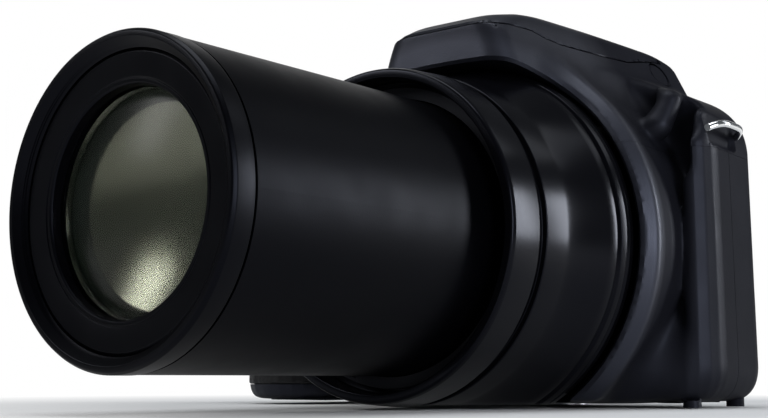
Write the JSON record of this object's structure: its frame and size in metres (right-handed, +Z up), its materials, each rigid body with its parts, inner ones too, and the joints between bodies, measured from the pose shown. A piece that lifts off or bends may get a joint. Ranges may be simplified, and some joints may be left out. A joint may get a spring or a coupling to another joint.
{
  "type": "bridge camera",
  "caption": "Compact superzoom bridge camera with a telescoping lens, pop-up flash in a viewfinder hump, moulded grip, controls and a rear screen, held by its tripod socket or strap bars.",
  "frame": {"origin": "mouth of the tripod socket, level with the feet", "axes": "+Z up, -Y towards the subject along the lens, +X towards the holder's left hand"},
  "size_m": [0.1334, 0.17, 0.0931],
  "materials": {
    "cover_plastic": "fine-grain moulded, satin",
    "tube_plastic": "fine-grain satin",
    "gloss_plastic": "polished",
    "control_plastic": "satin",
    "grip_rubber": "leather-grain",
    "eyecup_rubber": "smooth",
    "front_glass": "coated, green and purple",
    "inner_glass": "coated",
    "clear_plastic": "clear moulded",
    "lamp": "tinted",
    "screen": "polished",
    "inner_plastic": "dull",
    "gear_plastic": "natural",
    "plated_steel": "polished",
    "steel": "turned",
    "bush_alloy": "machined",
    "board": "dull",
    "cell": "dull",
    "record_red": "satin"
  },
  "bodies": {
    "body": {"front_cover": "cover_plastic", "rear_cover": "cover_plastic", "top_cover": "cover_plastic", "grip_rubber": "grip_rubber", "lens_shroud": "gloss_plastic", "mouth_ring": "gloss_plastic", "lens_base": "inner_plastic", "guide_barrel": "inner_plastic", "guide_rods": "steel", "iris_unit": "inner_plastic", "relay_lens": "inner_glass", "image_sensor": "board", "main_board": "board", "zoom_motor": "steel", "focus_motor": "steel", "battery": "cell", "memory_card": "cell", "card_slot": "steel", "tripod_bush": "bush_alloy", "lcd_module": "inner_plastic", "lcd_window": "screen", "finder_unit": "inner_plastic", "finder_lens": "inner_glass", "eyecup": "eyecup_rubber", "strap_bars": "plated_steel", "case_screws": "steel", "focus_lamp": "lamp", "side_sockets": "steel"},
    "zoom_group": {"zoom_tube": "tube_plastic", "front_bezel": "tube_plastic", "name_ring": "tube_plastic", "front_element": "front_glass", "second_element": "inner_glass", "cam_pins": "steel"},
    "cam": {"cam_barrel": "inner_plastic"},
    "pinion": {"zoom_gear": "gear_plastic"},
    "variator": {"variator_frame": "inner_plastic", "variator_lens": "inner_glass"},
    "focus": {"focus_frame": "inner_plastic", "focus_lens": "inner_glass"},
    "flash": {"flash_lid": "cover_plastic", "flash_window": "clear_plastic", "flash_tube": "clear_plastic", "flash_pin": "steel"},
    "flash_button": {"flash_button": "control_plastic"},
    "mode_dial": {"mode_dial": "control_plastic"},
    "zoom_lever": {"zoom_lever": "control_plastic"},
    "shutter_button": {"shutter_button": "control_plastic"},
    "power_switch": {"power_switch": "control_plastic"},
    "record_button": {"record_button": "record_red"},
    "rear_dial": {"rear_dial": "control_plastic"},
    "diopter_dial": {"diopter_dial": "control_plastic"},
    "finder_key": {"finder_key": "control_plastic"},
    "lock_key": {"lock_key": "control_plastic"},
    "play_key": {"play_key": "control_plastic"},
    "set_key": {"set_key": "control_plastic"},
    "cursor_pad": {"cursor_pad": "control_plastic"},
    "battery_door": {"battery_door": "cover_plastic"},
    "door_latch": {"door_latch": "control_plastic"},
    "side_door": {"side_door": "cover_plastic"}
  },
  "joints": [
    {"name": "zoom_slide", "type": "slide", "parent": "body", "child": "zoom_group", "axis": [0, 1, 0], "range_m": [0, 0.055]},
    {"name": "cam_spin", "type": "hinge", "parent": "body", "child": "cam", "pos_m": [0, -0.04, 0.0369], "axis": [0, -1, 0], "range_deg": [0, 120.5]},
    {"name": "pinion_spin", "type": "hinge", "parent": "body", "child": "pinion", "pos_m": [-0.03213, -0.0115, 0.05545], "axis": [0, 1, 0], "range_deg": [0, 991]},
    {"name": "variator_slide", "type": "slide", "parent": "body", "child": "variator", "axis": [0, 1, 0], "range_m": [-0.0181, 0]},
    {"name": "focus_slide", "type": "slide", "parent": "body", "child": "focus", "axis": [0, 1, 0], "range_m": [-0.003, 0.003]},
    {"name": "flash_hinge", "type": "hinge", "parent": "body", "child": "flash", "pos_m": [0, 0.005, 0.0887], "axis": [-1, 0, 0], "range_deg": [0, 55]},
    {"name": "flash_key_press", "type": "slide", "parent": "body", "child": "flash_button", "axis": [-1, 0, 0], "range_m": [0, 0.0005], "stiffness_N_per_m": 250},
    {"name": "mode_dial_spin", "type": "hinge", "parent": "body", "child": "mode_dial", "pos_m": [-0.045, -0.0035, 0.072], "axis": [0, 0, 1], "continuous": true},
    {"name": "zoom_lever_turn", "type": "hinge", "parent": "body", "child": "zoom_lever", "pos_m": [-0.0647, -0.03, 0.06576], "axis": [0, -0.2419, 0.9703], "range_deg": [-18, 18], "stiffness_Nm_per_rad": 0.03},
    {"name": "shutter_press", "type": "slide", "parent": "body", "child": "shutter_button", "axis": [0, 0.2419, -0.9703], "range_m": [0, 0.0012], "stiffness_N_per_m": 300},
    {"name": "power_slide", "type": "slide", "parent": "body", "child": "power_switch", "axis": [1, 0, 0], "range_m": [0, 0.005]},
    {"name": "record_press", "type": "slide", "parent": "body", "child": "record_button", "axis": [0, 0, -1], "range_m": [0, 0.0005], "stiffness_N_per_m": 250},
    {"name": "rear_dial_spin", "type": "hinge", "parent": "body", "child": "rear_dial", "pos_m": [-0.0647, 0.005, 0.0636], "axis": [0, 0, 1], "continuous": true},
    {"name": "diopter_turn", "type": "hinge", "parent": "body", "child": "diopter_dial", "pos_m": [-0.029, 0.008, 0.0851], "axis": [1, 0, 0], "range_deg": [-120, 120]},
    {"name": "finder_key_press", "type": "slide", "parent": "body", "child": "finder_key", "axis": [0, -1, 0], "range_m": [0, 0.0005], "stiffness_N_per_m": 250},
    {"name": "lock_key_press", "type": "slide", "parent": "body", "child": "lock_key", "axis": [0, -1, 0], "range_m": [0, 0.0005], "stiffness_N_per_m": 250},
    {"name": "play_key_press", "type": "slide", "parent": "body", "child": "play_key", "axis": [0, -1, 0], "range_m": [0, 0.0005], "stiffness_N_per_m": 250},
    {"name": "set_key_press", "type": "slide", "parent": "body", "child": "set_key", "axis": [0, -1, 0], "range_m": [0, 0.0005], "stiffness_N_per_m": 250},
    {"name": "pad_rock", "type": "hinge", "parent": "body", "child": "cursor_pad", "pos_m": [-0.054, 0.009, 0.029], "axis": [1, 0, 0], "range_deg": [-2.5, 2.5], "stiffness_Nm_per_rad": 0.05},
    {"name": "battery_door_hinge", "type": "hinge", "parent": "body", "child": "battery_door", "pos_m": [-0.061, 0.0062, 0.0018], "axis": [1, 0, 0], "range_deg": [0, 90]},
    {"name": "door_latch_slide", "type": "slide", "parent": "battery_door", "child": "door_latch", "axis": [0, 1, 0], "range_m": [0, 0.004]},
    {"name": "side_door_hinge", "type": "hinge", "parent": "body", "child": "side_door", "pos_m": [-0.0767, -0.0281, 0.0522], "axis": [0, 0, 1], "range_deg": [0, 90]}
  ],
  "couplings": [
    {"joint": "cam_spin", "follows": "zoom_slide", "rad_per_m": 38.08},
    {"joint": "pinion_spin", "follows": "zoom_slide", "rad_per_m": 314.16},
    {"joint": "variator_slide", "follows": "zoom_slide", "ratio": -0.327}
  ]
}
